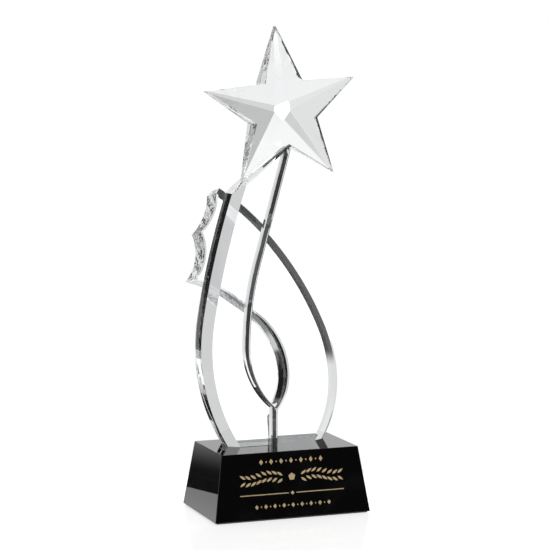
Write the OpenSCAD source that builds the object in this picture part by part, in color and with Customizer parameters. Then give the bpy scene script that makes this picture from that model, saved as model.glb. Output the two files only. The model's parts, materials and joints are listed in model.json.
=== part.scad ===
// Crystal star award: a black glass plinth, two crossing clear ribbons and a faceted star.
// The origin is the centre of the resting face. X runs to the right, Y to the back, Z up.

/* [Base] */
// Width of the base block where it stands
base_w = 103; // [96:0.5:130]
// Depth of the base block where it stands
base_d = 64.5; // [56:0.5:90]
// Height of the base block
base_h = 41; // [32:0.5:60]
// How far the left and right sides slope in, each
base_draft_x = 6; // [2:0.5:8]
// How far the front and back slope in, each
base_draft_y = 6; // [2:0.5:8]
// Thickness of the felt pad under the base
pad_t = 0.8; // [0.4:0.1:2]
// How far the pad stays in from the bottom edges
pad_inset = 1.5; // [0.5:0.25:4]

/* [Engraving] */
// Depth of the engraved ornament
engrave_depth = 0.5; // [0.3:0.1:1]
// How far the gold fill stays below the glass
fill_recess = 0.05; // [0:0.05:0.2]
// Length of the engraved rule
rule_len = 74; // [50:1:84]
// Thickness of the engraved rule
rule_t = 0.5; // [0.3:0.1:1]
// Height of the rule above the bottom of the front face
rule_up = 15.5; // [12:0.5:18]
// Number of leaves on each laurel branch
leaf_count = 8; // [4:1:10]
// Length of one leaf
leaf_len = 4.6; // [3:0.2:6]
// Gap in the middle of the rule, on each side of its lozenge
rule_gap = 2.5; // [1.5:0.5:5]
// Width and height of the lozenge on the rule
rule_lozenge = 2.6; // [1.5:0.1:4]
// Distance of the first leaves from the middle
laurel_start = 6; // [4:0.5:10]
// Distance of a leaf's root from the branch's middle line
leaf_root = 0.9; // [0.4:0.1:1.5]
// Angle of a leaf to the branch
leaf_tilt = 34; // [15:1:50]
// Height of the branch's shallow wave
branch_wave = 1.2; // [0:0.1:2]
// Radius of the pentagon between the branches
pentagon_r = 2.4; // [1.5:0.1:3.5]
// Lozenges in the row above the laurel
upper_lozenges = 13; // [5:2:15]
// Distance of the upper row below the front face's top edge
upper_row_margin = 5.9; // [3:0.1:7]
// Distance between lozenges in the upper row
upper_pitch = 3.3; // [2.8:0.1:4]
// Width of a large lozenge in the upper row
upper_lozenge_w = 2.6; // [1.5:0.1:3]
// Height of a large lozenge in the upper row
upper_lozenge_h = 3.6; // [1.5:0.1:4]
// Lozenges in the row below the rule
lower_lozenges = 17; // [5:2:19]
// Distance of the lower row below the rule
lower_row_down = 7.5; // [5:0.5:9]
// Distance between lozenges in the lower row
lower_pitch = 3; // [2.6:0.1:4]
// Width of a large lozenge in the lower row
lower_lozenge_w = 2.4; // [1.5:0.1:3]
// Height of a large lozenge in the lower row
lower_lozenge_h = 3; // [1.5:0.1:4]
// How many times a large lozenge is larger than a small one
lozenge_ratio = 2.4; // [1.5:0.1:3]

/* [Ribbons] */
// Thickness of both crystal ribbons
ribbon_t = 20.5; // [14:0.5:22]
// How far the front ribbon's face stands ahead of the base's middle
front_lead = 4.25; // [0:0.25:8]
// How far the rear ribbon's foot stands behind the front ribbon's face
rear_setback = 5.5; // [2:0.5:8]
// Height above the base at which the two ribbons first cross
crossing_h = 88; // [70:1:100]
// How far the bond between the ribbons reaches below that crossing
crossing_below = 8; // [4:0.5:12]
// How far it reaches above that crossing
crossing_above = 6; // [2:0.5:10]
// Thickness of every clear bond layer
bond_t = 0.2; // [0.1:0.05:0.4]
// Half-width of the clear joint between the two feet
seam_half = 0.1; // [0.05:0.05:0.3]
// Width of the wide bevel on the front ribbon's outer edge
front_bevel_w = 5.7; // [2:0.1:7]
// Depth of that bevel into the thickness
front_bevel_d = 4.9; // [2:0.1:6]
// Width of the wide bevel on the rear ribbon's outer edge
rear_bevel_w = 5.7; // [2:0.1:7]
// Depth of that bevel into the thickness
rear_bevel_d = 4.9; // [2:0.1:6]
// Width of the narrow bevel on the back of both ribbons' outer edges
back_bevel_w = 3; // [1.5:0.1:5]
// Depth of that bevel into the thickness
back_bevel_d = 3; // [1.5:0.1:5]

/* [Front ribbon outline] */
// Height of the widest point above the base
front_wide_h = 61.5; // [55:0.5:66]
// Distance of the widest point to the left of the middle
front_wide_x = 49.3; // [46:0.1:52]
// Radius of the lower outer arc
front_low_r = 116.6; // [112:0.2:124]
// Radius of the upper outer arc
front_high_r = 509; // [430:1:600]
// Turn at which the upper outer arc takes over
front_high_from = 8.9; // [6:0.1:12]
// Distance of the inner edge to the left of the middle, where it is nearest the outer edge
front_inner_x = 18.4; // [15:0.1:22]
// Radius of the inner edge below that point
front_inner_low_r = 50.9; // [44:0.1:60]
// Radius of the inner edge above that point
front_inner_high_r = 200; // [160:1:240]
// Turn at which the inner edge runs straight up to the star
front_straight_from = 15.5; // [13:0.1:17]

/* [Rear ribbon outline] */
// Height of the widest point, up the ribbon
rear_wide_h = 42; // [38:0.5:46]
// Distance of the widest point to the right of the middle
rear_wide_x = 47.3; // [45:0.1:50]
// Radius of the outer edge below the widest point
rear_low_r = 73; // [64:0.5:84]
// Radius of the outer edge above the widest point
rear_mid_r = 93.5; // [88:0.5:100]
// Turn at which the flatter top arc takes over
rear_top_from = 20; // [17:0.5:23]
// Radius of the flatter top arc
rear_top_r = 196; // [184:1:210]
// Turn at which the top arc ends in the nose
rear_top_to = 53.2; // [51:0.1:53.4]
// Distance of the almond gap's widest point to the right of the middle
rear_inner_x = 11.7; // [9:0.1:13]
// Radius of the inner edge below that point
rear_inner_low_r = 36; // [32:0.1:42]
// Radius of the inner edge above that point
rear_inner_high_r = 46.4; // [44:0.1:50]
// Turn at which the inner edge runs straight
rear_straight_from = 54; // [52:0.5:56]
// Length of that straight stretch
rear_straight_len = 22.5; // [20:0.5:25]
// Radius of the last stretch to the wavy end
rear_tail_r = 60; // [50:1:80]
// Turn at which the last stretch ends in the tail's tip
rear_tail_to = 77; // [74:0.5:80]
// How far the cusp between the scallops stands to the right of the tail's tip
cusp_run = 6.2; // [4:0.2:9]
// Height of the cusp above the tail's tip
cusp_rise = 30.2; // [26:0.2:34]
// How far the shoulder stands to the right of the cusp
shoulder_run = 12; // [9:0.2:14]
// Height of the shoulder above the cusp
shoulder_rise = 24.6; // [22:0.2:27]
// Size of the cut corner between the shoulder and the nose, both ways
nose_cut = 3.5; // [2:0.1:5]
// Hollow of the lower scallop
scallop_low = 4.5; // [1:0.1:6]
// Hollow of the upper scallop
scallop_high = 2.6; // [1:0.1:4]

/* [Star] */
// Radius of the star to its tips
star_r = 52.5; // [46:0.5:56]
// Radius of the star to its notches
star_notch_r = 21.5; // [18:0.5:24]
// Turn of the star, counter-clockwise from upright
star_turn = 5.2; // [0:0.1:8]
// How far the star's low notch stands to the left of the front ribbon's inner edge
notch_inset = 1.5; // [0:0.1:4]
// Height of the star's centre above the base
star_h = 211; // [205:0.5:225]
// Thickness of the star at its tips
star_tip_t = 4.4; // [2:0.2:8]
// Thickness of the star at its notches
star_notch_t = 17; // [10:0.5:18]
// Thickness of the star at its centre
star_centre_t = 30; // [22:0.5:36]

/* [Hidden] */

arc_steps = 24;              // straight sides that make one arc of an outline
cone_fn = 360;               // fineness of the bevels' cones
lap = 0.4;                   // turn by which neighbouring bevel cutters overlap
over = 1;                    // how far a cutter runs past what it cuts
far = 400;                   // larger than the whole award
foot_run = 12;               // how far an uncut foot runs below the base's top
top_run = 60;                // how far the uncut front ribbon runs past its top
branch_end = 3;              // how far a laurel branch stays in from the rule's end
leaf_edge = [[0.35, 0.17], [0.7, 0.14]];  // upper edge of a leaf that is 1 long

base_top = pad_t + base_h;
front_y = -front_lead;
rear_y = front_y + rear_setback;
// The rear ribbon leans back just enough to clear the front one where they cross.
rear_lean = atan((ribbon_t + bond_t - rear_setback) / crossing_h);
front_slope = atan(base_draft_y / base_h);
upper_row_up = norm([base_draft_y, base_h]) - upper_row_margin;

glass_black = [0.03, 0.03, 0.035];
crystal = [0.86, 0.93, 0.95, 0.45];
bond_tint = [0.9, 0.95, 1, 0.6];
gold = [0.78, 0.64, 0.38];

function polar(r, a) = r * [cos(a), sin(a)];
function arc(c, r, a0, a1) =
    [for (i = [0:arc_steps]) c + polar(r, a0 + (a1 - a0) * i / arc_steps)];
// Centre of an arc of radius r2 that leaves the arc (c, r1) smoothly at angle a.
function next_centre(c, r1, r2, a) = c + polar(r1 - r2, a);
// Arc from p to q that hollows in by s to the left of the way from p to q, without its ends.
function hollow(p, q, s) =
    let (half = norm(q - p) / 2, r = (half * half + s * s) / (2 * s),
         u = (q - p) / (2 * half), left = [-u[1], u[0]],
         c = (p + q) / 2 + left * (s - r), a = asin(half / r))
    [for (i = [1:arc_steps - 1])
        let (t = -a + 2 * a * i / arc_steps) c + r * (cos(t) * left + sin(t) * u)];

// ---- Front ribbon, seen from the front: x to the right, y up from the base's top ----
front_low_c = [front_low_r - front_wide_x, front_wide_h];
front_high_c = next_centre(front_low_c, front_low_r, front_high_r, 180 - front_high_from);
front_inner_low_c = [front_inner_low_r - front_inner_x, front_wide_h];
front_inner_high_c = [front_inner_high_r - front_inner_x, front_wide_h];
front_foot_a = asin((front_wide_h + foot_run) / front_low_r);
front_top_a = asin((star_h + top_run - front_high_c[1]) / front_high_r);
front_seam_a = acos((front_inner_low_c[0] + seam_half) / front_inner_low_r);
straight_start = front_inner_high_c + polar(front_inner_high_r, 180 - front_straight_from);
straight_way = [sin(front_straight_from), cos(front_straight_from)];
front_outline = concat(
    arc(front_low_c, front_low_r, 180 + front_foot_a, 180 - front_high_from),
    arc(front_high_c, front_high_r, 180 - front_high_from, 180 - front_top_a),
    [straight_start + straight_way * (top_run + star_h - straight_start[1])],
    arc(front_inner_high_c, front_inner_high_r, 180 - front_straight_from, 180),
    arc(front_inner_low_c, front_inner_low_r, 180, 180 + front_seam_a),
    [[-seam_half, -foot_run]]);

// ---- Rear ribbon, in its own plane: x to the right, y up the ribbon ----
// Its straight inner stretch meets the front ribbon's inner edge at the crossing.
crossing_x = front_inner_high_c[0]
    - sqrt(pow(front_inner_high_r, 2) - pow(crossing_h - front_wide_h, 2));
rear_straight_x = rear_inner_x - rear_inner_high_r * (1 - cos(rear_straight_from));
rear_inner_h = crossing_h / cos(rear_lean) - rear_inner_high_r * sin(rear_straight_from)
    - (rear_straight_x - crossing_x) / tan(rear_straight_from);
rear_low_c = [rear_wide_x - rear_low_r, rear_wide_h];
rear_mid_c = [rear_wide_x - rear_mid_r, rear_wide_h];
rear_top_c = next_centre(rear_mid_c, rear_mid_r, rear_top_r, rear_top_from);
rear_foot_a = asin((rear_wide_h + foot_run) / rear_low_r);
rear_inner_low_c = [rear_inner_x - rear_inner_low_r, rear_inner_h];
rear_inner_high_c = [rear_inner_x - rear_inner_high_r, rear_inner_h];
rear_seam_a = acos((seam_half - rear_inner_low_c[0]) / rear_inner_low_r);
tail_start = rear_inner_high_c + polar(rear_inner_high_r, rear_straight_from)
    + rear_straight_len * [-sin(rear_straight_from), cos(rear_straight_from)];
tail_c = tail_start - polar(rear_tail_r, rear_straight_from);
tail_tip = tail_c + polar(rear_tail_r, rear_tail_to);
cusp = tail_tip + [cusp_run, cusp_rise];
shoulder = cusp + [shoulder_run, shoulder_rise];
nose = shoulder + [nose_cut, nose_cut];
rear_outline = concat(
    [[seam_half, -foot_run]],
    arc(rear_low_c, rear_low_r, -rear_foot_a, 0),
    arc(rear_mid_c, rear_mid_r, 0, rear_top_from),
    arc(rear_top_c, rear_top_r, rear_top_from, rear_top_to),
    [nose, shoulder], hollow(shoulder, cusp, scallop_high), [cusp],
    hollow(cusp, tail_tip, scallop_low), [tail_tip],
    arc(tail_c, rear_tail_r, rear_tail_to, rear_straight_from),
    arc(rear_inner_high_c, rear_inner_high_r, rear_straight_from, 0),
    arc(rear_inner_low_c, rear_inner_low_r, 0, -rear_seam_a));

// ---- Star, seen from the front, about its own centre ----
function star_tip(k) = polar(star_r, 90 + star_turn + 72 * k);
function star_notch(k) = polar(star_notch_r, 126 + star_turn + 72 * k);
left_leg = star_tip(2);
right_leg = star_tip(3);
low_notch = star_notch(2);
leg_len = norm(low_notch - left_leg);
leg_angle = atan2(low_notch[1] - left_leg[1], low_notch[0] - left_leg[0]);
right_angle = atan2(right_leg[1] - low_notch[1], right_leg[0] - low_notch[0]);
star_mid_y = front_y + ribbon_t / 2;
// The star's low notch lies by the straight inner edge of the front ribbon.
star_x = straight_start[0] - notch_inset - low_notch[0]
    + (star_h + low_notch[1] - straight_start[1]) * tan(front_straight_from);

// Turns a shape drawn in x and z with its thickness along z into one that stands upright,
// its front at y = 0 and its thickness towards the back.
module stand_up() {
    rotate([90, 0, 0]) mirror([0, 0, 1]) children();
}

// Place of the rear ribbon: it leans back about the front edge of its foot.
module lean_back() {
    translate([0, rear_y, base_top]) rotate([-rear_lean, 0, 0]) children();
}

// Ring with a triangular section that cuts a bevel along an arc of an outline.
module bevel_cutter(c, r, a0, a1, w, d) {
    stretch = 1 + over / min(w, d);
    translate([c[0], c[1], 0]) rotate([0, 0, a0 - lap])
        rotate_extrude(angle = a1 - a0 + 2 * lap, $fn = cone_fn)
            polygon([[r - w * stretch, d * (1 - stretch)],
                     [r + w * (stretch - 1), d * stretch],
                     [r + w * stretch + over, d * (1 - stretch)]]);
}

// Solid frustum between the base's bottom and its top.
module frustum() {
    intersection() {
        translate([0, base_d / 2, 0]) rotate([90, 0, 0]) linear_extrude(base_d)
            polygon([[-base_w / 2, 0], [base_w / 2, 0],
                     [base_w / 2 - base_draft_x, base_h], [base_draft_x - base_w / 2, base_h]]);
        translate([-base_w / 2, 0, 0]) rotate([90, 0, 90]) linear_extrude(base_w)
            polygon([[-base_d / 2, 0], [base_d / 2, 0],
                     [base_d / 2 - base_draft_y, base_h], [base_draft_y - base_d / 2, base_h]]);
    }
}

// Sloping front face: x to the right, y up the face, z out of the glass.
module on_front_face() {
    translate([0, -base_d / 2, pad_t]) rotate([90 - front_slope, 0, 0]) children();
}

module lozenge(w, h) {
    polygon([[-w / 2, 0], [0, -h / 2], [w / 2, 0], [0, h / 2]]);
}

// Row of lozenges, every second one small, about x = 0.
module lozenge_row(count, pitch, w, h) {
    for (i = [0:count - 1])
        translate([(i - (count - 1) / 2) * pitch, 0])
            if (i % 2 == 0) lozenge(w, h);
            else lozenge(w / lozenge_ratio, h / lozenge_ratio);
}

// Pointed leaf along x: its upper edge and the same edge turned over.
module leaf() {
    polygon(leaf_len * concat([[0, 0]], leaf_edge, [[1, 0]],
                              [for (i = [len(leaf_edge) - 1:-1:0]) [leaf_edge[i][0], -leaf_edge[i][1]]]));
}

// Laurel branch that runs to the right from x = 0 in a shallow wave.
module laurel_branch() {
    pitch = (rule_len / 2 - laurel_start - branch_end) / leaf_count;
    for (i = [0:leaf_count - 1])
        for (side = [-1, 1])
            translate([laurel_start + i * pitch,
                       side * leaf_root + branch_wave * sin(i * 360 / leaf_count)])
                rotate([0, 0, side * leaf_tilt]) leaf();
}

// The whole ornament, flat.
module ornament() {
    for (side = [-1, 1])
        translate([side * rule_len / 4, rule_up])
            square([rule_len / 2 - 2 * rule_gap, rule_t], center = true);
    translate([0, rule_up]) lozenge(rule_lozenge, rule_lozenge);
    translate([0, (rule_up + upper_row_up) / 2]) {
        laurel_branch();
        mirror([1, 0]) laurel_branch();
        rotate([0, 0, 90]) circle(r = pentagon_r, $fn = 5);
    }
    translate([0, upper_row_up])
        lozenge_row(upper_lozenges, upper_pitch, upper_lozenge_w, upper_lozenge_h);
    translate([0, rule_up - lower_row_down])
        lozenge_row(lower_lozenges, lower_pitch, lower_lozenge_w, lower_lozenge_h);
}

module base_pad() {
    color([0.07, 0.07, 0.07])
        translate([pad_inset - base_w / 2, pad_inset - base_d / 2, 0])
            cube([base_w - 2 * pad_inset, base_d - 2 * pad_inset, pad_t]);
}

module base_block() {
    color(glass_black) difference() {
        translate([0, 0, pad_t]) frustum();
        on_front_face() translate([0, 0, -engrave_depth])
            linear_extrude(engrave_depth + over) ornament();
    }
}

module engraving_fill() {
    color(gold) on_front_face() translate([0, 0, -engrave_depth])
        linear_extrude(engrave_depth - fill_recess) ornament();
}

// Cutters for bevels of one size along the front ribbon's outer edge.
module front_edge_cutters(w, d) {
    bevel_cutter(front_low_c, front_low_r, 180 - front_high_from, 180 + front_foot_a + over, w, d);
    bevel_cutter(front_high_c, front_high_r, 180 - front_top_a - over, 180 - front_high_from, w, d);
}

// Cutters for bevels of one size along the rear ribbon's outer edge.
module rear_edge_cutters(w, d) {
    bevel_cutter(rear_low_c, rear_low_r, -rear_foot_a - over, 0, w, d);
    bevel_cutter(rear_mid_c, rear_mid_r, 0, rear_top_from, w, d);
    bevel_cutter(rear_top_c, rear_top_r, rear_top_from, rear_top_to, w, d);
}

// Moves what is drawn at a ribbon's front face to its back face, turned over.
module on_back_face() {
    translate([0, 0, ribbon_t]) mirror([0, 0, 1]) children();
}

// Front ribbon with both its bevels, before its foot and top are cut.
module front_blank() {
    translate([0, front_y, base_top]) stand_up() difference() {
        linear_extrude(ribbon_t) polygon(front_outline);
        front_edge_cutters(front_bevel_w, front_bevel_d);
        on_back_face() front_edge_cutters(back_bevel_w, back_bevel_d);
    }
}

// Rear ribbon with both its bevels, before its foot is cut.
module rear_blank() {
    lean_back() stand_up() difference() {
        linear_extrude(ribbon_t) polygon(rear_outline);
        rear_edge_cutters(rear_bevel_w, rear_bevel_d);
        on_back_face() rear_edge_cutters(back_bevel_w, back_bevel_d);
    }
}

// Slab between two heights, wide enough for any foot.
module slab(from, to) {
    translate([-far / 2, -far / 2, from]) cube([far, far, to - from]);
}

// Everything above the line through the star's low notch at the given angle.
module above_leg(angle, clearance) {
    translate([star_x + low_notch[0], 0, base_top + star_h + low_notch[1]])
        rotate([0, -angle, 0]) translate([-far, -far / 2, -clearance]) cube([2 * far, far, far]);
}

module front_ribbon() {
    color(crystal) difference() {
        intersection() {
            front_blank();
            slab(base_top + bond_t, far);
        }
        above_leg(leg_angle, bond_t);
        above_leg(right_angle, bond_t);
    }
}

module rear_ribbon() {
    color(crystal) intersection() {
        rear_blank();
        slab(base_top + bond_t, far);
    }
}

module front_foot_bond() {
    color(bond_tint) intersection() {
        front_blank();
        slab(base_top, base_top + bond_t);
    }
}

module rear_foot_bond() {
    color(bond_tint) intersection() {
        rear_blank();
        slab(base_top, base_top + bond_t);
    }
}

// Clear joint between the two feet, where both of them have glass.
module foot_seam_bond() {
    seam_top = min(front_wide_h - front_inner_low_r * sin(front_seam_a),
                   (rear_inner_h - rear_inner_low_r * sin(rear_seam_a)) * cos(rear_lean));
    color(bond_tint) intersection() {
        translate([-seam_half, front_y, base_top + bond_t])
            cube([2 * seam_half, ribbon_t, seam_top - bond_t]);
        lean_back() translate([-seam_half, 0, -foot_run])
            cube([2 * seam_half, ribbon_t, seam_top + 2 * foot_run]);
    }
}

// Thin wedge of clear bond that joins the ribbons above the point where they first cross.
module crossing_bond() {
    color(bond_tint) difference() {
        intersection() {
            translate([0, front_y + ribbon_t, base_top]) stand_up()
                linear_extrude(ribbon_t) polygon(front_outline);
            lean_back() translate([0, -ribbon_t, 0]) stand_up()
                linear_extrude(ribbon_t) polygon(rear_outline);
            slab(base_top + crossing_h - crossing_below, base_top + crossing_h + crossing_above);
        }
        above_leg(leg_angle, bond_t);
    }
}

// Layer of clear bond on the lower edge of the star's left leg.
module star_bond() {
    color(bond_tint)
        translate([star_x + left_leg[0], star_mid_y, base_top + star_h + left_leg[1]])
            rotate([0, -leg_angle, 0]) translate([0, 0, -bond_t])
                linear_extrude(bond_t)
                    polygon([[0, -star_tip_t / 2], [leg_len, -star_notch_t / 2],
                             [leg_len, star_notch_t / 2], [0, star_tip_t / 2]]);
}

module star() {
    rim = [for (k = [0:4]) each [[star_tip(k), star_tip_t / 2], [star_notch(k), star_notch_t / 2]]];
    front = [for (p = rim) [p[0][0], -p[1], p[0][1]]];
    back = [for (p = rim) [p[0][0], p[1], p[0][1]]];
    front_apex = 20;
    back_apex = 21;
    color(crystal) translate([star_x, star_mid_y, base_top + star_h])
        polyhedron(
            points = concat(front, back, [[0, -star_centre_t / 2, 0], [0, star_centre_t / 2, 0]]),
            faces = concat(
                [for (i = [0:9]) [front_apex, i, (i + 1) % 10]],
                [for (i = [0:9]) [back_apex, 10 + (i + 1) % 10, 10 + i]],
                [for (i = [0:9]) [i, 10 + i, 10 + (i + 1) % 10, (i + 1) % 10]]));
}

base_pad();
base_block();
engraving_fill();
front_foot_bond();
rear_foot_bond();
foot_seam_bond();
crossing_bond();
front_ribbon();
rear_ribbon();
star_bond();
star();
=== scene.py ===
"""Crystal star award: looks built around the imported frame.

A black glass plinth carries two crossing clear crystal ribbons, and the front one holds a
faceted star. The shapes are read from the frame, in metres, Z up. The small arrises, the
finishes and the studio have sizes of their own.
"""

import json
import logging
import math
from dataclasses import dataclass, field
from enum import Enum

import bmesh
import bpy
import numpy as np
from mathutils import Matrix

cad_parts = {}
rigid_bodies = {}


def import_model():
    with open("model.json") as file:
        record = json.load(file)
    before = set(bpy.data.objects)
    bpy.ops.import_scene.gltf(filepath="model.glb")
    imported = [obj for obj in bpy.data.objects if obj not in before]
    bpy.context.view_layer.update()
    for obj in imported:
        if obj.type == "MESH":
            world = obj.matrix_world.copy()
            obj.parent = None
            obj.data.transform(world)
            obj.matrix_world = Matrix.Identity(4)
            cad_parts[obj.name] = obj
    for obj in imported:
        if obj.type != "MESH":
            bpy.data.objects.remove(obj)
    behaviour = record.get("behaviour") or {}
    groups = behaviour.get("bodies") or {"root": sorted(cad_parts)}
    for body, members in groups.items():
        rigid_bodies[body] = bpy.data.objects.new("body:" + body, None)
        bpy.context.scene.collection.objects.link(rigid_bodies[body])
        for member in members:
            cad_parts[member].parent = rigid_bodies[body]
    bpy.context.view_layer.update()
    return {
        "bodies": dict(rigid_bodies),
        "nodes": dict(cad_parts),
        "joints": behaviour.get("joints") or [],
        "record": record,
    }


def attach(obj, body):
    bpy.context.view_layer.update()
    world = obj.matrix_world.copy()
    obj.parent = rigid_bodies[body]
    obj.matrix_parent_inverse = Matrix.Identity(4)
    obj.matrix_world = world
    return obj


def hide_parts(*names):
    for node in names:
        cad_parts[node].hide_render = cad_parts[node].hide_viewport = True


LOG = logging.getLogger("award")
MM = 0.001
ROOT_BODY = "root"
MERGE_DISTANCE = 2e-6
TINY = 1e-18
SQUARE_ON = 0.99999
FLAT_DEG = 0.4
FRONT_FACING = -0.98

Colour = tuple[float, float, float]


class Edge(Enum):
    """How one straight run of a ribbon's outline is finished."""

    ARRIS = 0
    BEVEL = 1
    FOOT = 2
    WAVE = 3


# Which of a ribbon's finishes each kind takes: its face's, its edge's or its wavy end's.
FINISH_OF_EDGE = {Edge.ARRIS: 1, Edge.BEVEL: 0, Edge.FOOT: 1, Edge.WAVE: 2}


class Tree:
    """A thin, typed wrapper that adds and links nodes in one node tree."""

    def __init__(self, tree: bpy.types.NodeTree) -> None:
        """Keeps the tree to work on.

        Args:
            tree: The node tree of a material, a world or a group.
        """
        self.tree = tree

    def add(self, kind: str, **settings: object) -> bpy.types.Node:
        """Adds a node and sets its properties.

        Args:
            kind: The node's type name.
            settings: Properties by name; a name that is an input sets that input.

        Returns:
            The new node.
        """
        node = self.tree.nodes.new(kind)
        for name, value in settings.items():
            if hasattr(node, name):
                setattr(node, name, value)
            else:
                node.inputs[name.replace("_", " ")].default_value = value
        return node

    def link(self, source: bpy.types.NodeSocket, target: bpy.types.NodeSocket) -> None:
        """Links one output to one input."""
        self.tree.links.new(source, target)

    def math(self, operation: str, a: object, b: object = 0.0) -> bpy.types.NodeSocket:
        """Adds a Math node.

        Args:
            operation: The node's operation.
            a: First value or socket.
            b: Second value or socket.

        Returns:
            The result's socket.
        """
        node = self.add("ShaderNodeMath", operation=operation)
        for socket, value in zip(node.inputs, (a, b), strict=False):
            if isinstance(value, bpy.types.NodeSocket):
                self.link(value, socket)
            else:
                socket.default_value = value
        return node.outputs[0]

    def ramp(self, value: bpy.types.NodeSocket, low: float, high: float,
             out_low: float = 0.0, out_high: float = 1.0) -> bpy.types.NodeSocket:
        """Carries a value from one range to another with smooth ends.

        Args:
            value: The socket to carry.
            low: Value that gives out_low.
            high: Value that gives out_high.
            out_low: Result at the low end.
            out_high: Result at the high end.

        Returns:
            The result's socket.
        """
        node = self.add("ShaderNodeMapRange", interpolation_type="SMOOTHSTEP")
        self.link(value, node.inputs["Value"])
        for name, number in (("From Min", low), ("From Max", high),
                             ("To Min", out_low), ("To Max", out_high)):
            node.inputs[name].default_value = number
        return node.outputs[0]

    def mix(self, factor: bpy.types.NodeSocket, a: Colour, b: Colour) -> bpy.types.NodeSocket:
        """Mixes two colours by a factor and gives the colour socket."""
        node = self.add("ShaderNodeMix", data_type="RGBA")
        self.link(factor, node.inputs["Factor"])
        node.inputs["A"].default_value = (*a, 1.0)
        node.inputs["B"].default_value = (*b, 1.0)
        return node.outputs["Result"]


class SharedEffects:
    """Shader node groups that more than one finish uses, each built once."""

    def __init__(self) -> None:
        """Builds the groups."""
        self.dust = self._dust()
        self.polish = self._polish()
        self.grain = self._grain()

    @staticmethod
    def _group(name: str, inputs: dict[str, tuple[str, float]],
               outputs: dict[str, str]) -> tuple[bpy.types.NodeTree, Tree]:
        """Makes an empty group with named sockets.

        Args:
            name: The group's name.
            inputs: Socket type and default value by name.
            outputs: Socket type by name.

        Returns:
            The group and its wrapper.
        """
        group = bpy.data.node_groups.new(name, "ShaderNodeTree")
        for label, (kind, value) in inputs.items():
            socket = group.interface.new_socket(label, in_out="INPUT", socket_type=kind)
            if kind == "NodeSocketFloat":
                socket.default_value = value
        for label, kind in outputs.items():
            group.interface.new_socket(label, in_out="OUTPUT", socket_type=kind)
        return group, Tree(group)

    def _dust(self) -> bpy.types.NodeTree:
        """Dust and faint smears: fine specks spread over every face and broad cloudy wipes.

        Returns:
            A group that gives a mask of specks and a mask of smears.
        """
        group, t = self._group(
            "dust_and_smears",
            {"Position": ("NodeSocketVector", 0.0), "Speck Scale": ("NodeSocketFloat", 900.0),
             "Smear Scale": ("NodeSocketFloat", 28.0)},
            {"Specks": "NodeSocketFloat", "Smears": "NodeSocketFloat"})
        source = t.add("NodeGroupInput")
        result = t.add("NodeGroupOutput")
        cells = t.add("ShaderNodeTexVoronoi", feature="F1")
        t.link(source.outputs["Position"], cells.inputs["Vector"])
        t.link(source.outputs["Speck Scale"], cells.inputs["Scale"])
        near = t.ramp(cells.outputs["Distance"], 0.16, 0.05)
        rare = t.add("ShaderNodeSeparateColor")
        t.link(cells.outputs["Color"], rare.inputs[0])
        few = t.ramp(rare.outputs[0], 0.86, 0.95)
        t.link(t.math("MULTIPLY", near, few), result.inputs["Specks"])
        smear = t.add("ShaderNodeTexNoise", Detail=5.0, Distortion=1.4)
        t.link(source.outputs["Position"], smear.inputs["Vector"])
        t.link(source.outputs["Smear Scale"], smear.inputs["Scale"])
        t.link(t.ramp(smear.outputs[0], 0.48, 0.72), result.inputs["Smears"])
        return group

    def _polish(self) -> bpy.types.NodeTree:
        """Height left by a polishing wheel: long soft ripples and a little fine swirl.

        Returns:
            A group that gives a height in metres.
        """
        group, t = self._group(
            "polish_marks",
            {"Position": ("NodeSocketVector", 0.0), "Ripple Scale": ("NodeSocketFloat", 120.0),
             "Ripple Height": ("NodeSocketFloat", 0.00002),
             "Swirl Height": ("NodeSocketFloat", 0.0)},
            {"Height": "NodeSocketFloat"})
        source = t.add("NodeGroupInput")
        result = t.add("NodeGroupOutput")
        ripple = t.add("ShaderNodeTexNoise", Detail=1.0, Distortion=0.6)
        t.link(source.outputs["Position"], ripple.inputs["Vector"])
        t.link(source.outputs["Ripple Scale"], ripple.inputs["Scale"])
        swirl = t.add("ShaderNodeTexWave", wave_type="RINGS", Scale=900.0, Distortion=14.0,
                      Detail=3.0)
        t.link(source.outputs["Position"], swirl.inputs["Vector"])
        broad = t.math("MULTIPLY", ripple.outputs[0], source.outputs["Ripple Height"])
        fine = t.math("MULTIPLY", swirl.outputs["Fac"], source.outputs["Swirl Height"])
        t.link(t.math("ADD", broad, fine), result.inputs["Height"])
        return group

    def _grain(self) -> bpy.types.NodeTree:
        """Fine grain with two sizes, as of sand-etched glass or pressed felt.

        Returns:
            A group that gives the grain, from 0 to 1.
        """
        group, t = self._group(
            "fine_grain",
            {"Position": ("NodeSocketVector", 0.0), "Scale": ("NodeSocketFloat", 2500.0)},
            {"Grain": "NodeSocketFloat"})
        source = t.add("NodeGroupInput")
        result = t.add("NodeGroupOutput")
        fine = t.add("ShaderNodeTexNoise", Detail=6.0, Roughness=0.7)
        t.link(source.outputs["Position"], fine.inputs["Vector"])
        t.link(source.outputs["Scale"], fine.inputs["Scale"])
        coarse = t.add("ShaderNodeTexVoronoi", feature="F1")
        t.link(source.outputs["Position"], coarse.inputs["Vector"])
        t.link(t.math("MULTIPLY", source.outputs["Scale"], 0.4), coarse.inputs["Scale"])
        t.link(t.math("ADD", t.math("MULTIPLY", fine.outputs[0], 0.65),
                      t.math("MULTIPLY", coarse.outputs["Distance"], 0.35)),
               result.inputs["Grain"])
        return group


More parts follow.
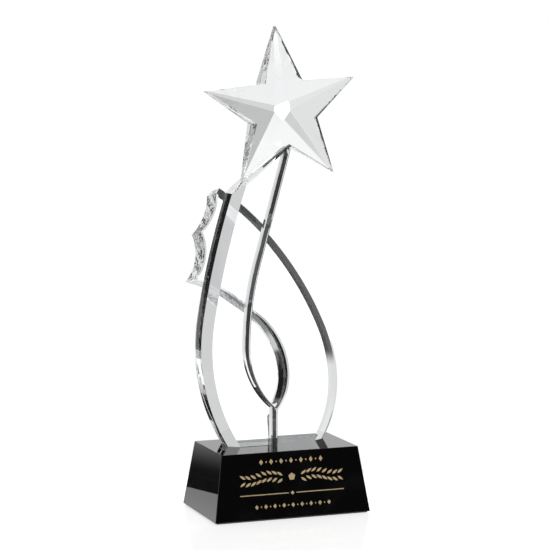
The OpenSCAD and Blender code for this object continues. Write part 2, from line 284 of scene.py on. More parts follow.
@dataclass
class Finish:
    """One material with its own node tree, ready for a finish to fill in."""

    name: str
    effects: SharedEffects
    material: bpy.types.Material = field(init=False)
    tree: Tree = field(init=False)
    shader: bpy.types.Node = field(init=False)
    position: bpy.types.NodeSocket = field(init=False)

    def __post_init__(self) -> None:
        """Makes the material with a Principled shader and the piece's own coordinates."""
        self.material = bpy.data.materials.new(self.name)
        self.material.use_nodes = True
        self.tree = Tree(self.material.node_tree)
        self.shader = self.material.node_tree.nodes["Principled BSDF"]
        self.position = self.tree.add("ShaderNodeTexCoord").outputs["Object"]

    def plain(self, **values: object) -> None:
        """Sets constants straight on the shader's sockets."""
        for label, value in values.items():
            self.shader.inputs[label.replace("_", " ")].default_value = value

    def effect(self, group: bpy.types.NodeTree, **values: float) -> bpy.types.Node:
        """Places a shared group with this finish's own values.

        Args:
            group: One of the shared groups.
            values: Numbers for its inputs by name.

        Returns:
            The group's node.
        """
        node = self.tree.add("ShaderNodeGroup", node_tree=group)
        self.tree.link(self.position, node.inputs["Position"])
        for label, value in values.items():
            node.inputs[label.replace("_", " ")].default_value = value
        return node

    def bump(self, height: bpy.types.NodeSocket, distance: float) -> None:
        """Feeds a height to the shader's normal.

        Args:
            height: The height's socket.
            distance: Metres that a height of one stands for.
        """
        node = self.tree.add("ShaderNodeBump", Strength=1.0, Distance=distance)
        self.tree.link(height, node.inputs["Height"])
        self.tree.link(node.outputs[0], self.shader.inputs["Normal"])


@dataclass(frozen=True)
class CrystalFinish:
    """Clear optical crystal; the ripple is what the polishing wheel leaves."""

    name: str
    ripple_scale: float
    ripple_height: float
    tint: Colour = (0.985, 0.994, 1.0)
    ior: float = 1.52

    def make(self, effects: SharedEffects) -> bpy.types.Material:
        """Builds the material: clear, with faint smears and polishing ripples.

        Args:
            effects: The shared node groups.

        Returns:
            The material.
        """
        f = Finish(self.name, effects)
        f.plain(Base_Color=(*self.tint, 1.0), Transmission_Weight=1.0, IOR=self.ior, Metallic=0.0)
        dust = f.effect(effects.dust, Speck_Scale=700.0, Smear_Scale=22.0)
        rough = f.tree.ramp(dust.outputs["Smears"], 0.0, 1.0, 0.0, 0.012)
        f.tree.link(rough, f.shader.inputs["Roughness"])
        polish = f.effect(effects.polish, Ripple_Scale=self.ripple_scale,
                          Ripple_Height=self.ripple_height)
        f.bump(polish.outputs["Height"], 1.0)
        return f.material


@dataclass(frozen=True)
class BlackGlassFinish:
    """Polished black glass of the plinth."""

    name: str = "black_glass"
    body: Colour = (0.0035, 0.0033, 0.0036)
    smeared: Colour = (0.0075, 0.0072, 0.0075)

    def make(self, effects: SharedEffects) -> bpy.types.Material:
        """Builds the material: deep black with smears, dust and wheel marks.

        Args:
            effects: The shared node groups.

        Returns:
            The material.
        """
        f = Finish(self.name, effects)
        f.plain(IOR=1.6, Metallic=0.0, Coat_IOR=1.5)
        dust = f.effect(effects.dust, Speck_Scale=520.0, Smear_Scale=30.0)
        f.tree.link(f.tree.mix(dust.outputs["Smears"], self.body, self.smeared),
                    f.shader.inputs["Base Color"])
        smear = f.tree.ramp(dust.outputs["Smears"], 0.0, 1.0, 0.015, 0.06)
        f.tree.link(f.tree.math("ADD", smear,
                                f.tree.math("MULTIPLY", dust.outputs["Specks"], 0.25)),
                    f.shader.inputs["Roughness"])
        polish = f.effect(effects.polish, Ripple_Scale=45.0, Ripple_Height=0.000006)
        f.bump(polish.outputs["Height"], 1.0)
        return f.material


@dataclass(frozen=True)
class GoldFillFinish:
    """Gold paint in the sand-etched ornament."""

    name: str = "gold_fill"
    light: Colour = (0.83, 0.66, 0.38)
    deep: Colour = (0.56, 0.40, 0.20)

    def make(self, effects: SharedEffects) -> bpy.types.Material:
        """Builds the material: satin gold that lies over a sand-etched grain.

        Args:
            effects: The shared node groups.

        Returns:
            The material.
        """
        f = Finish(self.name, effects)
        f.plain(Metallic=0.25, IOR=1.5)
        grain = f.effect(effects.grain, Scale=3200.0)
        f.tree.link(f.tree.mix(grain.outputs["Grain"], self.deep, self.light),
                    f.shader.inputs["Base Color"])
        f.tree.link(f.tree.ramp(grain.outputs["Grain"], 0.2, 0.8, 0.38, 0.62),
                    f.shader.inputs["Roughness"])
        f.bump(grain.outputs["Grain"], 0.00006)
        return f.material


@dataclass(frozen=True)
class FeltFinish:
    """Pressed black felt under the plinth."""

    name: str = "black_felt"
    dark: Colour = (0.006, 0.006, 0.007)
    lint: Colour = (0.03, 0.03, 0.032)

    def make(self, effects: SharedEffects) -> bpy.types.Material:
        """Builds the material: matted fibres with a soft sheen and some lint.

        Args:
            effects: The shared node groups.

        Returns:
            The material.
        """
        f = Finish(self.name, effects)
        f.plain(Metallic=0.0, Sheen_Weight=0.4, Sheen_Roughness=0.6)
        grain = f.effect(effects.grain, Scale=1500.0)
        f.tree.link(f.tree.mix(grain.outputs["Grain"], self.dark, self.lint),
                    f.shader.inputs["Base Color"])
        f.tree.link(f.tree.ramp(grain.outputs["Grain"], 0.0, 1.0, 0.82, 1.0),
                    f.shader.inputs["Roughness"])
        f.bump(grain.outputs["Grain"], 0.0003)
        return f.material


@dataclass(frozen=True)
class BondFinish:
    """Clear cured adhesive. Against crystal it hardly bends light, so its index is near one."""

    name: str = "clear_bond"
    tint: Colour = (0.97, 0.985, 0.99)
    ior: float = 1.01

    def make(self, effects: SharedEffects) -> bpy.types.Material:
        """Builds the material: clear, with the faint unevenness of a cured layer.

        Args:
            effects: The shared node groups.

        Returns:
            The material.
        """
        f = Finish(self.name, effects)
        f.plain(Base_Color=(*self.tint, 1.0), Transmission_Weight=1.0, IOR=self.ior, Metallic=0.0)
        dust = f.effect(effects.dust, Speck_Scale=900.0, Smear_Scale=90.0)
        f.tree.link(f.tree.ramp(dust.outputs["Smears"], 0.0, 1.0, 0.0, 0.03),
                    f.shader.inputs["Roughness"])
        polish = f.effect(effects.polish, Ripple_Scale=300.0, Ripple_Height=0.000003)
        f.bump(polish.outputs["Height"], 1.0)
        return f.material


@dataclass
class Facets:
    """Points and triangles of one frame node, with its doubles merged."""

    points: np.ndarray
    triangles: np.ndarray

    @classmethod
    def of(cls, obj: bpy.types.Object) -> "Facets":
        """Reads a node's mesh.

        Args:
            obj: The node's object.

        Returns:
            The merged points and their triangles.
        """
        mesh = obj.data
        mesh.calc_loop_triangles()
        co = np.empty(len(mesh.vertices) * 3)
        mesh.vertices.foreach_get("co", co)
        tri = np.empty(len(mesh.loop_triangles) * 3, np.int64)
        mesh.loop_triangles.foreach_get("vertices", tri)
        keys = np.round(co.reshape(-1, 3) / MERGE_DISTANCE).astype(np.int64)
        _, first, back = np.unique(keys, axis=0, return_index=True, return_inverse=True)
        return cls(co.reshape(-1, 3)[first], back.reshape(-1)[tri].reshape(-1, 3))

    def normals(self) -> tuple[np.ndarray, np.ndarray]:
        """Gives each triangle's unit normal and area: half the cross product of two sides."""
        a, b, c = (self.points[self.triangles[:, k]] for k in range(3))
        cross = np.cross(b - a, c - a)
        length = np.linalg.norm(cross, axis=1)
        return cross / np.maximum(length, TINY)[:, None], length / 2

    def rim(self, chosen: np.ndarray) -> np.ndarray:
        """Walks the outer edge of some triangles: the sides that only one of them has.

        Args:
            chosen: Which triangles to take, as booleans.

        Returns:
            The rim's points in order, counter-clockwise seen against their normal.
        """
        sides = self.triangles[chosen][:, [0, 1, 1, 2, 2, 0]].reshape(-1, 2)
        have = set(map(tuple, sides.tolist()))
        follow = {int(a): int(b) for a, b in sides if (int(b), int(a)) not in have}
        start = min(follow)
        walk = [start]
        while follow[walk[-1]] != start:
            walk.append(follow[walk[-1]])
        return self.points[walk]

    def section(self, height: np.ndarray, straight: float = 0.002) -> np.ndarray:
        """Walks the loop where the skin crosses height zero, without points on straight runs.

        Args:
            height: Signed height of every point over the cutting plane.
            straight: Sine of the largest bend that still counts as straight.

        Returns:
            The loop's points in order.
        """
        above = height > 0
        crossed = self.triangles[np.ptp(above[self.triangles].astype(int), axis=1) > 0]
        cut, follow = {}, {}
        for corners in crossed.tolist():
            ends = {}
            for a, b in zip(corners, corners[1:] + corners[:1], strict=True):
                if above[a] != above[b]:
                    key = (min(a, b), max(a, b))
                    share = height[a] / (height[a] - height[b])
                    cut[key] = self.points[a] + share * (self.points[b] - self.points[a])
                    ends[bool(above[a])] = key
            follow[ends[True]] = ends[False]
        start = min(follow)
        walk = [start]
        while follow[walk[-1]] != start:
            walk.append(follow[walk[-1]])
        loop = np.array([cut[key] for key in walk])
        before, after = loop - np.roll(loop, 1, axis=0), np.roll(loop, -1, axis=0) - loop
        bend = np.linalg.norm(np.cross(before, after), axis=1)
        size = np.linalg.norm(before, axis=1) * np.linalg.norm(after, axis=1)
        return loop[bend > straight * size]


def placed(name: str, data: bpy.types.ID) -> bpy.types.Object:
    """Makes an object at the origin and links it to the scene."""
    obj = bpy.data.objects.new(name, data)
    bpy.context.scene.collection.objects.link(obj)
    return obj


def add_piece(name: str, points: np.ndarray, faces: list[list[int]],
              materials: list[bpy.types.Material]) -> bpy.types.Object:
    """Puts a mesh into the scene as a piece that rides on the award.

    Args:
        name: The piece's name.
        points: Its points, in metres.
        faces: Its faces as lists of point numbers, outward by the right-hand rule.
        materials: Its materials in order.

    Returns:
        The piece's object.
    """
    mesh = bpy.data.meshes.new(name)
    mesh.from_pydata(points.tolist(), [], faces)
    mesh.validate()
    for material in materials:
        mesh.materials.append(material)
    piece = placed(name, mesh)
    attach(piece, ROOT_BODY)
    return piece


@dataclass(frozen=True)
class Bevel:
    """A bevel's width in the face and its depth into the thickness."""

    width: float
    depth: float

    def inset(self, t: float) -> float:
        """Gives the inset at depth t: width times (1 - t / depth), never below 0."""
        return max(0.0, self.width * (1 - t / self.depth))


@dataclass
class RibbonPlane:
    """Where a ribbon stands: its in-plane axes, the way through it and its thickness."""

    across: np.ndarray
    up: np.ndarray
    through: np.ndarray
    corner: np.ndarray
    thickness: float

    def flat(self, points: np.ndarray) -> np.ndarray:
        """Carries points into the plane's two coordinates."""
        return np.stack([points @ self.across, points @ self.up], 1)

    def depth(self, points: np.ndarray) -> np.ndarray:
        """Gives how far points lie behind the front face."""
        return (points - self.corner) @ self.through

    def solid(self, loop: np.ndarray, t: float) -> np.ndarray:
        """Carries plane coordinates at depth t back into space."""
        across, up, through = self.across, self.up, self.through
        origin = (self.corner @ through) * through
        return origin + loop[:, :1] * across + loop[:, 1:] * up + t * through

    def lean(self) -> float:
        """Gives the tangent of the angle by which the ribbon leans back."""
        return float(-self.through[2] / self.through[1])


def close_turned_runs(loop: np.ndarray, way: np.ndarray, apart: float = 2e-6) -> np.ndarray:
    """Closes up the runs of a moved loop that have come out back to front.

    The runs before and after such a group are led on until they meet, at
    p + s * u with s = cross(q - p, v) / cross(u, v), and the group's points gather there.

    Args:
        loop: The moved loop.
        way: Unit direction of each run before it was moved.
        apart: Distance that gathered points keep, so that none coincide.

    Returns:
        The loop without turned runs.
    """
    count = len(loop)
    gone = np.zeros(count, bool)
    result = loop.copy()
    while True:
        step = np.roll(result, -1, axis=0) - result
        fresh = ((step * way).sum(1) < 0) & ~gone
        if not fresh.any():
            return result
        gone |= fresh
        for first in np.flatnonzero(gone & ~np.roll(gone, 1)):
            last = first
            while gone[(last + 1) % count]:
                last += 1
            u, v = way[first - 1], way[(last + 1) % count]
            p, q = loop[first], loop[(last + 1) % count]
            s = ((q - p)[0] * v[1] - (q - p)[1] * v[0]) / (u[0] * v[1] - u[1] * v[0])
            members = np.arange(first, last + 2)
            shift = (members - members.mean())[:, None] * apart * (u + v) / 2
            result[members % count] = p + s * u + shift


@dataclass
class CrystalRibbon:
    """One clear ribbon, with its outline and bevels from the frame and small arrises added."""

    node: str
    wavy_end: bool = False
    arris: Bevel = Bevel(1.1 * MM, 0.75 * MM)
    foot_sink: float = 0.26 * MM
    corner_deg: float = 14.0
    smallest_bevel: float = 1.5 * MM
    bevel_share: float = 0.6
    skin_share: float = 0.03
    level_play: float = 0.01 * MM
    wave_from: float = 0.55
    shortest_run: float = 0.8 * MM

    def build(self, frame: dict, face: bpy.types.Material, edge: bpy.types.Material,
              wave: bpy.types.Material) -> bpy.types.Object:
        """Builds the ribbon and puts it in place of its frame node.

        Args:
            frame: The loaded frame.
            face: Finish of the broad faces and the bevels.
            edge: Finish of the plain edges.
            wave: Finish of the wavy end.

        Returns:
            The ribbon's object.
        """
        facets = Facets.of(frame["nodes"][self.node])
        plane, front_rim, back_rim = self._plane(facets)
        depth = plane.depth(facets.points)
        outline = plane.flat(facets.section(depth - plane.thickness / 2))
        if self._turning_area(outline) < 0:
            outline = outline[::-1]
        run = np.linalg.norm(np.roll(outline, -1, axis=0) - outline, axis=1)
        outline = outline[run > self.shortest_run]
        front_gap = self._gap(outline, front_rim)
        back_gap = self._gap(outline, back_rim)
        kinds = self._edge_kinds(outline, front_gap)
        bevelled = kinds == Edge.BEVEL.value
        skin = self.skin_share * plane.thickness
        inside = (depth > skin) & (depth < plane.thickness - skin)
        near_front = depth < plane.thickness / 2
        front = Bevel(float(np.median(front_gap[bevelled])),
                      float(np.median(depth[inside & near_front])))
        back = Bevel(float(np.median(back_gap[bevelled])),
                     plane.thickness - float(np.median(depth[inside & ~near_front])))
        levels = self._levels(outline, kinds, front, back, plane)
        points = np.concatenate([plane.solid(loop, t) for t, loop in levels])
        piece = self._mesh(points, len(levels), outline, kinds, [face, edge, wave])
        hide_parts(self.node)
        LOG.info("%s: %d outline points, bevels %.1f x %.1f and %.1f x %.1f mm, leans %.1f deg",
                 self.node, len(outline), front.width / MM, front.depth / MM, back.width / MM,
                 back.depth / MM, math.degrees(math.atan(plane.lean())))
        return piece

    @staticmethod
    def _plane(facets: Facets) -> tuple[RibbonPlane, np.ndarray, np.ndarray]:
        """Finds the ribbon's plane from the direction that the most area faces.

        Args:
            facets: The frame node's triangles.

        Returns:
            The plane, and the rims of the front and the back face in it.
        """
        normal, area = facets.normals()
        keys = np.round(normal * 1e4).astype(np.int64)
        kinds, index = np.unique(keys, axis=0, return_inverse=True)
        total = np.bincount(index.reshape(-1), weights=area, minlength=len(kinds))
        broad = normal[index.reshape(-1) == int(np.argmax(total))].mean(0)
        broad *= np.sign(broad[1]) / np.linalg.norm(broad)
        across = np.array([1.0, 0.0, 0.0])
        up = np.cross(broad, across)
        up *= np.sign(up[2])
        facing = normal @ broad
        front = facets.rim(facing < -SQUARE_ON)
        back = facets.rim(facing > SQUARE_ON)
        plane = RibbonPlane(across, up, broad, front[0], float((back[0] - front[0]) @ broad))
        return plane, plane.flat(front), plane.flat(back)

    @staticmethod
    def _turning_area(loop: np.ndarray) -> float:
        """Area of a loop by the shoelace sum: positive when it runs counter-clockwise."""
        x, y = loop.T
        return float(0.5 * (x @ np.roll(y, -1) - y @ np.roll(x, -1)))

    @staticmethod
    def _gap(outline: np.ndarray, rim: np.ndarray) -> np.ndarray:
        """Distance from the middle of each run of the outline to the nearest run of a rim.

        Args:
            outline: Full outline in the ribbon's plane.
            rim: Rim of one broad face in the same plane.

        Returns:
            One distance for each run.
        """
        middle = (outline + np.roll(outline, -1, axis=0)) / 2
        way = np.roll(rim, -1, axis=0) - rim
        share = np.einsum("ijk,jk->ij", middle[:, None] - rim[None], way)
        share = np.clip(share / np.maximum((way * way).sum(1), TINY), 0, 1)
        nearest = rim[None] + share[..., None] * way[None]
        return np.linalg.norm(middle[:, None] - nearest, axis=2).min(1)

    def _edge_kinds(self, outline: np.ndarray, gap: np.ndarray) -> np.ndarray:
        """Tells bevelled runs, the foot, the wavy end and plain arrises apart.

        A run is bevelled where the front face's rim lies well inside the outline. It is the
        foot where both of its ends are the lowest points, and the wavy end where it faces left
        in the upper part.

        Args:
            outline: Full outline in the ribbon's plane.
            gap: Distance of each run to the front face's rim.

        Returns:
            The kind of each run.
        """
        ends = np.roll(outline, -1, axis=0)
        low, high = outline[:, 1].min(), outline[:, 1].max()
        is_foot = np.maximum(outline[:, 1], ends[:, 1]) < low + self.level_play
        way = ends - outline
        faces_left = way[:, 1] < -0.5 * np.linalg.norm(way, axis=1)
        is_high = outline[:, 1] > low + self.wave_from * (high - low)
        kinds = np.full(len(outline), Edge.ARRIS.value)
        if self.wavy_end:
            kinds[faces_left & is_high] = Edge.WAVE.value
        least = max(self.smallest_bevel, self.bevel_share * float(gap[~is_foot].max()))
        kinds[(gap > least) & ~is_foot] = Edge.BEVEL.value
        kinds[is_foot] = Edge.FOOT.value
        return kinds

    def _levels(self, outline: np.ndarray, kinds: np.ndarray, front: Bevel, back: Bevel,
                plane: RibbonPlane) -> list[tuple[float, np.ndarray]]:
        """Works out the loops that the ribbon's edge profile passes through.

        At depth t a plain run is set in by the arris near both faces, and a bevelled run by its
        two bevels. The foot keeps to the level plane under it, so it is set in by the distance
        from mid-thickness times the lean, and it sinks a hair into the plinth.

        Args:
            outline: Full outline in the ribbon's plane, at mid-thickness.
            kinds: Kind of each run.
            front: The front bevel.
            back: The back bevel.
            plane: Where the ribbon stands.

        Returns:
            Depth and loop of each level, from the front face to the back.
        """
        whole, arris = plane.thickness, self.arris
        levels = []
        for t in (0.0, arris.depth, front.depth, whole - back.depth, whole - arris.depth, whole):
            plain = arris.inset(t) + arris.inset(whole - t)
            inset_by_kind = {
                Edge.ARRIS.value: plain,
                Edge.WAVE.value: plain,
                Edge.BEVEL.value: front.inset(t) + back.inset(whole - t),
                Edge.FOOT.value: (t - whole / 2) * plane.lean() - self.foot_sink,
            }
            insets = np.array([inset_by_kind[int(k)] for k in kinds])
            levels.append((t, self._offset(outline, insets)))
        return levels

    @staticmethod
    def _offset(outline: np.ndarray, insets: np.ndarray, parallel: float = 0.03) -> np.ndarray:
        """Moves each run of a loop inward and meets its neighbours at mitred corners.

        A corner p solves (p - v) . m1 = -a and (p - v) . m2 = -b, where m1 and m2 are the
        outward normals of the runs before and after v. Where they are nearly parallel it moves
        along their mean.

        Args:
            outline: The loop, counter-clockwise.
            insets: How far each run moves in.
            parallel: Sine of the bend under which two runs count as parallel.

        Returns:
            The moved loop.
        """
        way = np.roll(outline, -1, axis=0) - outline
        way /= np.linalg.norm(way, axis=1)[:, None]
        after = np.stack([way[:, 1], -way[:, 0]], 1)
        before = np.roll(after, 1, axis=0)
        a, b = np.roll(insets, 1), insets
        det = before[:, 0] * after[:, 1] - before[:, 1] * after[:, 0]
        safe = np.where(np.abs(det) < parallel, 1.0, det)
        corner = np.stack([(-a * after[:, 1] + b * before[:, 1]) / safe,
                           (a * after[:, 0] - b * before[:, 0]) / safe], 1)
        mean = before + after
        mean /= (mean * mean).sum(1)[:, None] / 2
        smooth = -mean * ((a + b) / 2)[:, None]
        moved = outline + np.where(np.abs(det)[:, None] < parallel, smooth, corner)
        return close_turned_runs(moved, way)

    def _mesh(self, points: np.ndarray, levels: int, outline: np.ndarray, kinds: np.ndarray,
              materials: list[bpy.types.Material]) -> bpy.types.Object:
        """Joins the levels into a closed skin with crisp arrises and smooth curves.

        Args:
            points: Points of all the levels, front to back.
            levels: Number of levels.
            outline: Full outline in the ribbon's plane.
            kinds: Kind of each run.
            materials: Finishes of the faces, the plain edges and the wavy end.

        Returns:
            The ribbon's object.
        """
        count = len(outline)
        i = np.arange(count)
        j = np.roll(i, -1)
        quads = [np.stack([k * count + i, k * count + j, (k + 1) * count + j,
                           (k + 1) * count + i], 1) for k in range(levels - 1)]
        sides = np.concatenate(quads)
        faces = sides.tolist() + [i[::-1].tolist(), (i + (levels - 1) * count).tolist()]
        by_kind = np.array([FINISH_OF_EDGE[kind] for kind in Edge])
        finish = np.concatenate([np.tile(by_kind[kinds], levels - 1), [0, 0]])
        smooth = np.arange(len(faces)) < len(sides)
        piece = add_piece(f"{self.node}_crystal", points, faces, materials)
        mesh = piece.data
        mesh.polygons.foreach_set("material_index", finish.astype(np.int32))
        mesh.polygons.foreach_set("use_smooth", smooth)
        way = np.roll(outline, -1, axis=0) - outline
        heading = np.arctan2(way[:, 1], way[:, 0])
        turn = np.angle(np.exp(1j * (heading - np.roll(heading, 1))))
        corner = np.abs(turn) > math.radians(self.corner_deg)
        pairs = np.empty(len(mesh.edges) * 2, np.int64)
        mesh.edges.foreach_get("vertices", pairs)
        pairs = pairs.reshape(-1, 2)
        along = pairs[:, 0] // count == pairs[:, 1] // count
        mark = mesh.attributes.new("sharp_edge", "BOOLEAN", "EDGE")
        mark.data.foreach_set("value", along | corner[pairs[:, 0] % count])
        outward_face(mesh)
        return piece


def outward_face(mesh: bpy.types.Mesh) -> None:
    """Turns a closed mesh's faces outward, once its volume by signed tetrahedra says so."""
    mesh.calc_loop_triangles()
    co = np.empty(len(mesh.vertices) * 3)
    mesh.vertices.foreach_get("co", co)
    tri = np.empty(len(mesh.loop_triangles) * 3, np.int64)
    mesh.loop_triangles.foreach_get("vertices", tri)
    a, b, c = co.reshape(-1, 3)[tri.reshape(-1, 3)].transpose(1, 0, 2)
    if np.einsum("ij,ij->", a, np.cross(b, c)) < 0:
        mesh.flip_normals()


def softened_copy(node: bpy.types.Object, name: str, width: float, segments: int,
                  least_deg: float, least_len: float = 0.0) -> bpy.types.Mesh:
    """Copies a frame node's mesh, merges it and takes the sharpness off its long edges.

    Flat faces are merged, except the ones that face the front: an engraved face is full of
    holes and would come out tangled.

    Args:
        node: The frame node.
        name: The new mesh's name.
        width: Width of the softened edge.
        segments: Steps across it.
        least_deg: Only edges that turn more than this are softened.
        least_len: Only edges at least this long are softened.

    Returns:
        The new mesh.
    """
    bm = bmesh.new()
    bm.from_mesh(node.data)
    bmesh.ops.remove_doubles(bm, verts=bm.verts, dist=MERGE_DISTANCE)
    plain = [e for e in bm.edges if all(f.normal.y > FRONT_FACING for f in e.link_faces)]
    bmesh.ops.dissolve_limit(bm, angle_limit=math.radians(FLAT_DEG), verts=bm.verts, edges=plain)
    chosen = [e for e in bm.edges
              if len(e.link_faces) == 2 and e.calc_length() >= least_len
              and e.calc_face_angle(0.0) > math.radians(least_deg)]
    if chosen:
        bmesh.ops.bevel(bm, geom=chosen, offset=width, segments=segments, profile=0.5,
                        affect="EDGES", clamp_overlap=True)
    mesh = bpy.data.meshes.new(name)
    bm.to_mesh(mesh)
    bm.free()
    return mesh


@dataclass
class FacetedStar:
    """The star: frame facets with fine polished arrises."""

    node: str = "star"
    arris: float = 0.3 * MM
    softened_deg: float = 6.0
    wall_slant: float = 0.2

    def build(self, frame: dict, face: bpy.types.Material,
              edge: bpy.types.Material) -> bpy.types.Object:
        """Builds the star and puts it in place of its frame node.

        Args:
            frame: The loaded frame.
            face: Finish of the facets.
            edge: Finish of the walls between front and back.

        Returns:
            The star's object.
        """
        mesh = softened_copy(frame["nodes"][self.node], "star_crystal", self.arris, 1,
                             self.softened_deg)
        mesh.materials.append(face)
        mesh.materials.append(edge)
        star = placed("star_crystal", mesh)
        normal = np.empty(len(mesh.polygons) * 3)
        mesh.polygons.foreach_get("normal", normal)
        wall = np.abs(normal.reshape(-1, 3)[:, 1]) < self.wall_slant
        mesh.polygons.foreach_set("material_index", wall.astype(np.int32))
        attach(star, ROOT_BODY)
        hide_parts(self.node)
        LOG.info("star: %d faces", len(mesh.polygons))
        return star


@dataclass
class Plinth:
    """Black glass base with its engraving, its gold fill and its felt."""

    block: str = "base_block"
    fill: str = "engraving_fill"
    pad: str = "base_pad"
    chamfer: float = 0.7 * MM
    chamfered_deg: float = 30.0
    long_edge: float = 30 * MM

    def build(self, frame: dict, glass: bpy.types.Material, gold: bpy.types.Material,
              felt: bpy.types.Material) -> bpy.types.Object:
        """Builds the plinth's glass with chamfered edges and dresses its other pieces.

        Args:
            frame: The loaded frame.
            glass: Finish of the block.
            gold: Finish of the fill.
            felt: Finish of the pad.

        Returns:
            The block's object.
        """
        mesh = softened_copy(frame["nodes"][self.block], "base_glass", self.chamfer, 2,
                             self.chamfered_deg, self.long_edge)
        mesh.materials.append(glass)
        block = placed("base_glass", mesh)
        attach(block, ROOT_BODY)
        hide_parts(self.block)
        dress(frame, self.fill, gold)
        dress(frame, self.pad, felt)
        LOG.info("plinth: %d faces", len(mesh.polygons))
        return block


@dataclass
class BondLayers:
    """The thin clear layers between the pieces, kept a hair off the glass on every side."""

    nodes: tuple[str, ...] = ("front_foot_bond", "rear_foot_bond", "foot_seam_bond",
                              "crossing_bond", "star_bond")
    clearance: float = 0.04 * MM

    def build(self, frame: dict, bond: bpy.types.Material) -> None:
        """Builds each layer in place of its frame node, each point moved in by the clearance.

        Args:
            frame: The loaded frame.
            bond: The layers' finish.
        """
        for node in self.nodes:
            mesh = softened_copy(frame["nodes"][node], f"{node}_layer", 0.0, 1, 180.0)
            mesh.materials.append(bond)
            layer = placed(f"{node}_layer", mesh)
            co = np.empty(len(mesh.vertices) * 3)
            mesh.vertices.foreach_get("co", co)
            out = np.empty(len(mesh.vertices) * 3)
            mesh.vertex_normals.foreach_get("vector", out)
            mesh.vertices.foreach_set("co", co - self.clearance * out)
            mesh.update()
            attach(layer, ROOT_BODY)
            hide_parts(node)
            LOG.info("%s: %d faces", node, len(mesh.polygons))


def dress(frame: dict, node: str, material: bpy.types.Material) -> None:
    """Gives a frame node a new material and keeps its shape.

    Args:
        frame: The loaded frame.
        node: The node's name.
        material: Its finish.
    """
    obj = frame["nodes"][node]
    if not obj.material_slots:
        obj.data.materials.append(material)
    for slot in obj.material_slots:
        slot.material = material
    LOG.info("%s: dressed in %s", node, material.name)


@dataclass(frozen=True)
class Card:
    """One patch of the surroundings: its directions in degrees and how bright it is.

    The turn is counted from +Y towards +X and the rise from level. Over the soft edge the
    patch fades into what lies under it.
    """

    name: str
    turn: tuple[float, float]
    rise: tuple[float, float]
    level: float
    soft: float = 1.5


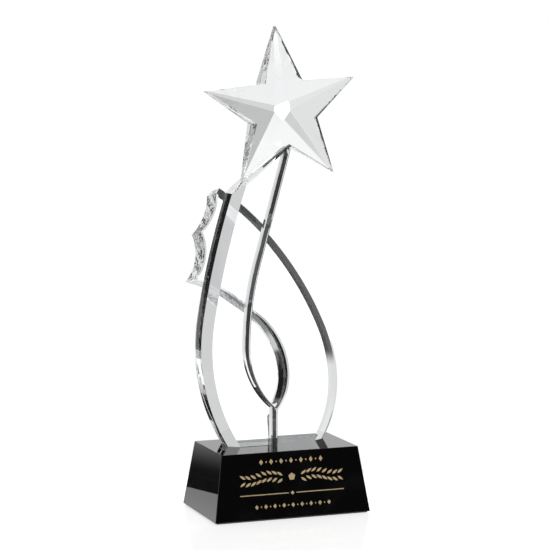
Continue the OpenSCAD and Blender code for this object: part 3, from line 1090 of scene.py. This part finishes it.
@dataclass
class Studio:
    """White backdrop behind, grey shoulders and dark flags beside it, and the camera."""

    camera_at: tuple[float, float, float] = (-0.4287, -1.1435, 0.2705)
    yaw_deg: float = 20.53
    pitch_deg: float = 5.67
    lens: float = 127.64
    floor_at: tuple[float, float] = (-0.06, -0.13)
    floor_radius: float = 0.26
    floor_glow: float = 0.64
    floor_roughness: float = 0.09
    floor_ior: float = 1.35
    lamp_at: tuple[float, float, float] = (0.1, 0.2, 1.8)
    lamp_watts: float = 6.0
    lamp_size: float = 1.2
    side_card_x: tuple[float, float] = (-0.20, -0.07)
    side_card_y: float = 0.20
    side_card_top: float = 0.075
    side_card_fade: tuple[float, float] = (0.005, 0.05)
    side_card_glow: float = 1.3
    ring_light: float = 0.70
    cards: tuple[Card, ...] = (
        Card("ground", (-200, 200), (-95, -14), 0.89),
        Card("ceiling", (-200, 200), (27, 95), 0.30, 4.0),
        Card("ceiling_right", (0, 60), (27, 58), 0.52, 3.0),
        Card("backdrop_left", (-7, 16), (-14, 9), 0.80),
        Card("backdrop", (12, 32), (-14, 9), 1.25),
        Card("shoulder_right", (32, 62), (-14, 9), 0.66),
        Card("upper_left", (0, 15), (9, 27), 0.62),
        Card("upper_middle", (15, 30), (9, 27), 0.97),
        Card("upper_right", (31, 46), (5, 27), 0.50),
        Card("flag_left", (-50, -11), (-14, 28), 0.02),
        Card("flag_left_top", (-30, 0), (9, 27), 0.05),
        Card("flag_low", (-48, 8), (-60, -12), 0.03),
        Card("flag_right_low", (120, 176), (-16, 16), 0.01),
        Card("flag_right_top", (144, 176), (14, 38), 0.01),
    )

    def build(self) -> None:
        """Builds the floor, the light and the camera."""
        self._floor()
        self._world()
        self._lamp()
        self._side_card()
        self._camera()
        scene = bpy.context.scene
        scene.view_settings.view_transform = "Standard"
        scene.cycles.max_bounces = 32
        scene.cycles.transmission_bounces = 28
        scene.cycles.glossy_bounces = 12
        scene.cycles.transparent_max_bounces = 16
        scene.cycles.use_denoising = True
        scene.cycles.caustics_reflective = True
        scene.cycles.caustics_refractive = True
        LOG.info("studio: floor, %d cards, lamp and camera", len(self.cards))

    def _floor(self) -> None:
        """Lays a round pale floor with a soft gloss under the award."""
        turn = np.linspace(0, 2 * math.pi, 96, endpoint=False)
        points = np.stack([self.floor_at[0] + self.floor_radius * np.cos(turn),
                           self.floor_at[1] + self.floor_radius * np.sin(turn),
                           np.zeros_like(turn)], 1)
        mesh = bpy.data.meshes.new("floor")
        mesh.from_pydata(points.tolist(), [], [list(range(len(turn)))])
        material = bpy.data.materials.new("floor_white")
        material.use_nodes = True
        shader = material.node_tree.nodes["Principled BSDF"]
        shader.inputs["Base Color"].default_value = (0.9, 0.9, 0.9, 1)
        shader.inputs["Roughness"].default_value = self.floor_roughness
        shader.inputs["IOR"].default_value = self.floor_ior
        shader.inputs["Emission Color"].default_value = (1, 1, 1, 1)
        shader.inputs["Emission Strength"].default_value = self.floor_glow
        mesh.materials.append(material)
        floor = placed("floor", mesh)

    def _world(self) -> None:
        """Lights the studio by direction, card over card; the camera itself sees plain white.

        For a direction (x, y, z) the turn is atan2(x, y) and the rise asin(z). Each card
        replaces the level under it by its own, by the share of its soft mask.
        """
        world = bpy.data.worlds.new("studio")
        bpy.context.scene.world = world
        world.use_nodes = True
        t = Tree(world.node_tree)
        world.node_tree.nodes.clear()
        parts = t.add("ShaderNodeSeparateXYZ")
        t.link(t.add("ShaderNodeTexCoord").outputs["Generated"], parts.inputs[0])
        x, y, z = parts.outputs
        turn = t.math("DEGREES", t.math("ARCTAN2", x, y))
        rise = t.math("DEGREES", t.math("ARCSINE", z))
        level = t.math("ADD", self.ring_light, 0.0)
        for card in self.cards:
            mask = t.math("MULTIPLY", self._band(t, turn, card.turn, card.soft),
                          self._band(t, rise, card.rise, card.soft))
            mask.node.label = card.name
            step = t.math("MULTIPLY", mask, t.math("SUBTRACT", card.level, level))
            level = t.math("ADD", level, step)
        seen = t.add("ShaderNodeLightPath").outputs["Is Camera Ray"]
        unseen = t.math("MULTIPLY", level, t.math("SUBTRACT", 1.0, seen))
        back = t.add("ShaderNodeBackground")
        back.inputs["Color"].default_value = (1, 1, 1, 1)
        t.link(t.math("ADD", unseen, seen), back.inputs["Strength"])
        t.link(back.outputs[0], t.add("ShaderNodeOutputWorld").inputs[0])

    @staticmethod
    def _band(t: Tree, angle: bpy.types.NodeSocket, limits: tuple[float, float],
              soft: float) -> bpy.types.NodeSocket:
        """Gives one between two angles and zero outside, with soft ends.

        Args:
            t: The world's tree.
            angle: The angle's socket, in degrees.
            limits: Where the band starts and ends.
            soft: Half the width of the soft ends.

        Returns:
            The band's socket.
        """
        start, stop = limits
        return t.math("MULTIPLY", t.ramp(angle, start - soft, start + soft),
                      t.ramp(angle, stop + soft, stop - soft))

    def _lamp(self) -> None:
        """Hangs one large soft lamp high above."""
        light = bpy.data.lights.new("top_soft", "AREA")
        light.energy = self.lamp_watts
        light.size = self.lamp_size
        placed("top_soft", light).location = self.lamp_at

    def _side_card(self) -> None:
        """Stands a small card behind to the left, for the plinth's left face to mirror.

        It is bright at the top and fades to nothing at its foot. Only mirroring surfaces see it.
        """
        (left, right), y, top = self.side_card_x, self.side_card_y, self.side_card_top
        points = [(left, y, 0.0), (right, y, 0.0), (right, y, top), (left, y, top)]
        mesh = bpy.data.meshes.new("side_card")
        mesh.from_pydata(points, [], [(0, 1, 2, 3)])
        material = bpy.data.materials.new("side_card_glow")
        material.use_nodes = True
        t = Tree(material.node_tree)
        parts = t.add("ShaderNodeSeparateXYZ")
        t.link(t.add("ShaderNodeTexCoord").outputs["Object"], parts.inputs[0])
        shader = material.node_tree.nodes["Principled BSDF"]
        shader.inputs["Base Color"].default_value = (0, 0, 0, 1)
        shader.inputs["Emission Color"].default_value = (1, 1, 1, 1)
        glow = t.ramp(parts.outputs[2], *self.side_card_fade, 0.0, self.side_card_glow)
        t.link(glow, shader.inputs["Emission Strength"])
        mesh.materials.append(material)
        card = placed("side_card", mesh)
        card.visible_camera = False
        card.visible_transmission = False
        card.visible_diffuse = False
        card.visible_shadow = False

    def _camera(self) -> None:
        """Sets the camera at eye level with the star, turned to the right and a little down."""
        data = bpy.data.cameras.new("camera")
        data.lens = self.lens
        data.sensor_width = 36.0
        data.clip_end = 50.0
        camera = placed("camera", data)
        camera.location = self.camera_at
        camera.rotation_euler = (math.radians(90 - self.pitch_deg), 0,
                                 -math.radians(self.yaw_deg))
        bpy.context.scene.camera = camera


class Award:
    """The whole award, built piece by piece."""

    def __init__(self, frame: dict) -> None:
        """Keeps the frame and makes the finishes.

        Args:
            frame: The loaded frame.
        """
        self.frame = frame
        effects = SharedEffects()
        self.face = CrystalFinish("crystal_face", 18.0, 0.000004).make(effects)
        self.edge = CrystalFinish("crystal_edge", 130.0, 0.00008).make(effects)
        self.wave = CrystalFinish("crystal_wave", 240.0, 0.00035).make(effects)
        self.facet = CrystalFinish("crystal_facet", 30.0, 0.000005).make(effects)
        self.wall = CrystalFinish("crystal_wall", 170.0, 0.0003).make(effects)
        self.glass = BlackGlassFinish().make(effects)
        self.gold = GoldFillFinish().make(effects)
        self.felt = FeltFinish().make(effects)
        self.bond = BondFinish().make(effects)

    def build(self) -> None:
        """Builds and dresses every piece."""
        Plinth().build(self.frame, self.glass, self.gold, self.felt)
        for ribbon in (CrystalRibbon("front_ribbon"), CrystalRibbon("rear_ribbon", wavy_end=True)):
            ribbon.build(self.frame, self.face, self.edge, self.wave)
        FacetedStar().build(self.frame, self.facet, self.wall)
        BondLayers().build(self.frame, self.bond)


def main() -> None:
    logging.basicConfig(level=logging.INFO, format="%(name)s: %(message)s")
    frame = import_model()
    Studio().build()
    Award(frame).build()


if __name__ == "__main__":
    main()
